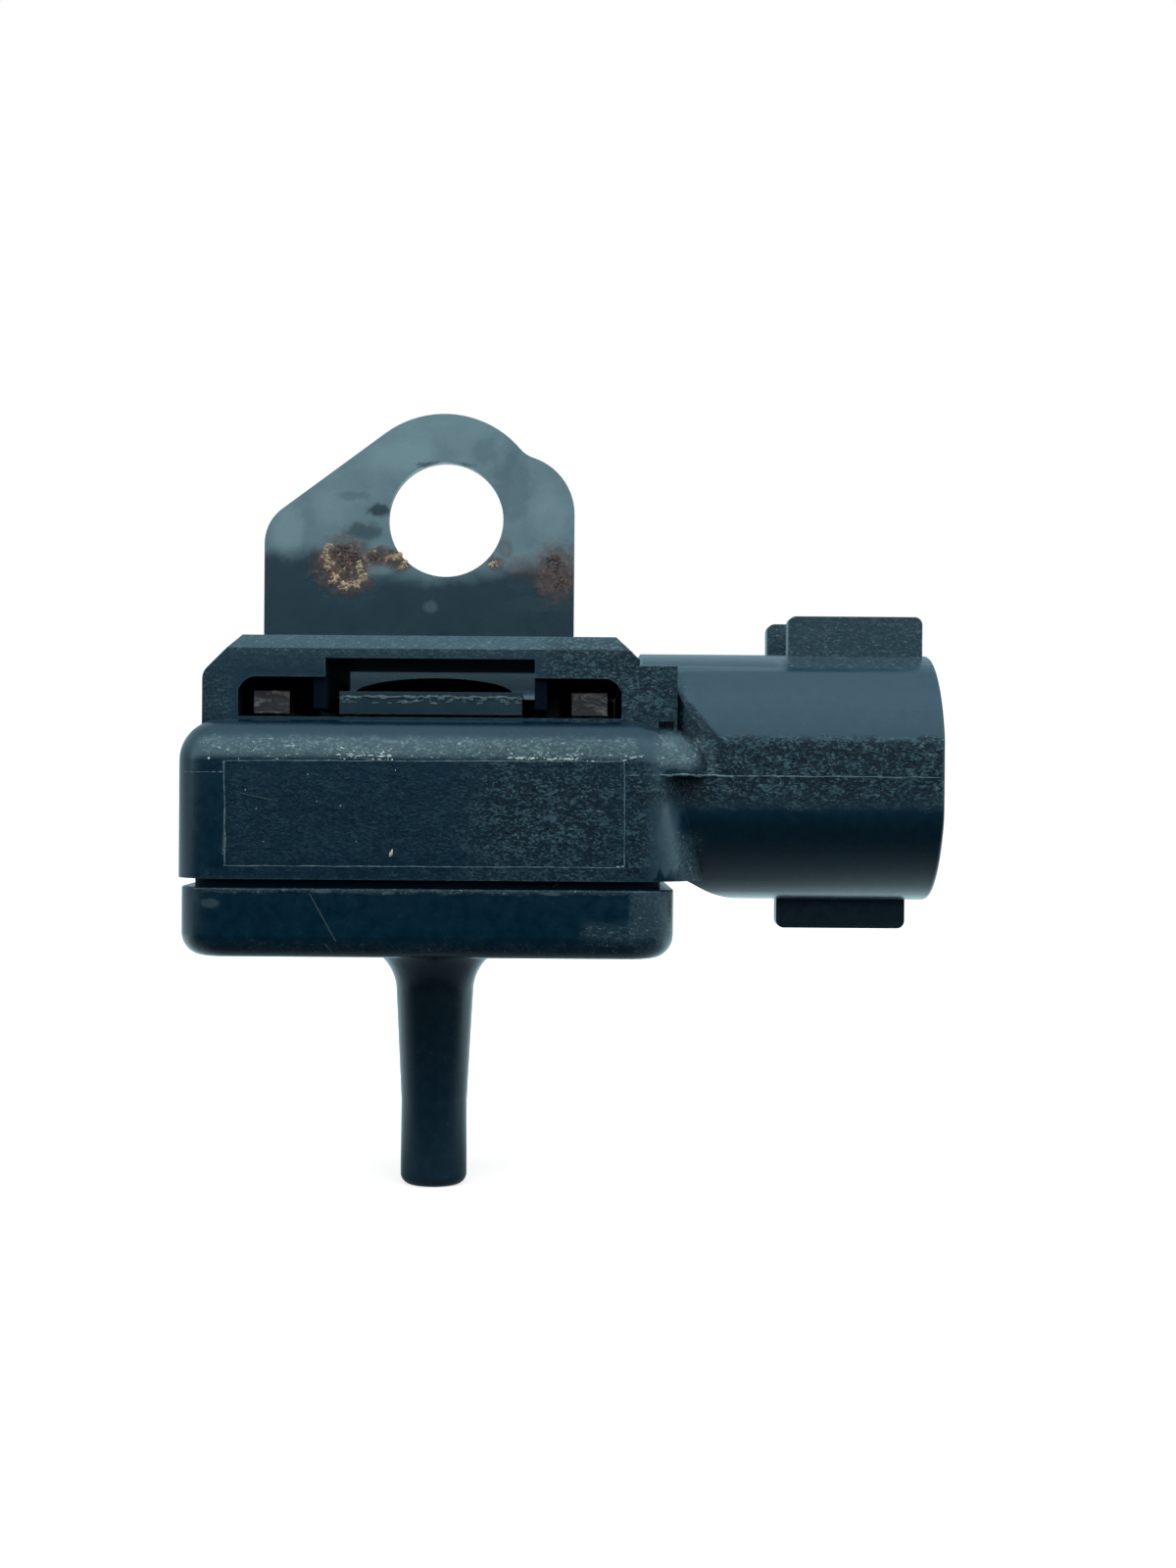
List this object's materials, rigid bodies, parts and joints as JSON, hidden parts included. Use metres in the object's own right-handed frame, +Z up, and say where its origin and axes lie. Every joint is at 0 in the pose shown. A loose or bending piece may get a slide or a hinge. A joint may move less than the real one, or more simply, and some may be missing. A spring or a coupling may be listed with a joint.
{
  "type": "manifold absolute pressure sensor",
  "caption": "Square moulded pressure sensor with a hose nipple below, a shrouded plug connector at the side and a folded steel bracket with a round bolt hole in a tunnel on top.",
  "frame": {"origin": "centre of the bracket's bolt hole, on the front face of the upright", "axes": "+Z up with the hose nipple pointing down, +X towards the plug connector, -Y towards the front of the body, which is the side away from the upright"},
  "size_m": [0.0465, 0.026, 0.0516],
  "materials": {
    "housing_plastic": "fine moulded grain, worn bright on the top edges",
    "cover_plastic": "smooth moulded, scratched",
    "sealant": "matt",
    "bracket_paint": "black paint with rust patches and bare sheared ends",
    "terminal_metal": "tinned",
    "board_ceramic": "fired ceramic, matt white",
    "cell_metal": "nickel plated",
    "sealing_glass": "dark sealing glass",
    "silicon": "polished silicon",
    "solder": "bright",
    "chip_body": "moulded black",
    "chip_ceramic": "fired body",
    "adhesive": "cured silicone",
    "gel": "clear soft gel",
    "filter_felt": "pressed felt"
  },
  "bodies": {
    "root": {"sensor_housing": "housing_plastic", "base_cover": "cover_plastic", "seam_sealant": "sealant", "mounting_bracket": "bracket_paint", "terminal_supply": "terminal_metal", "terminal_signal": "terminal_metal", "terminal_ground": "terminal_metal", "terminal_solder": "solder", "circuit_board": "board_ceramic", "board_adhesive": "adhesive", "cell_stem": "cell_metal", "cell_cap": "cell_metal", "cell_pipe": "cell_metal", "cell_leads": "cell_metal", "lead_glass": "sealing_glass", "glass_pedestal": "sealing_glass", "pressure_chip": "silicon", "port_seal_ring": "sealant", "port_filter": "filter_felt", "amplifier_ic": "chip_body", "noise_capacitors": "chip_ceramic", "trim_resistors": "chip_ceramic", "protective_gel": "gel"}
  },
  "joints": []
}
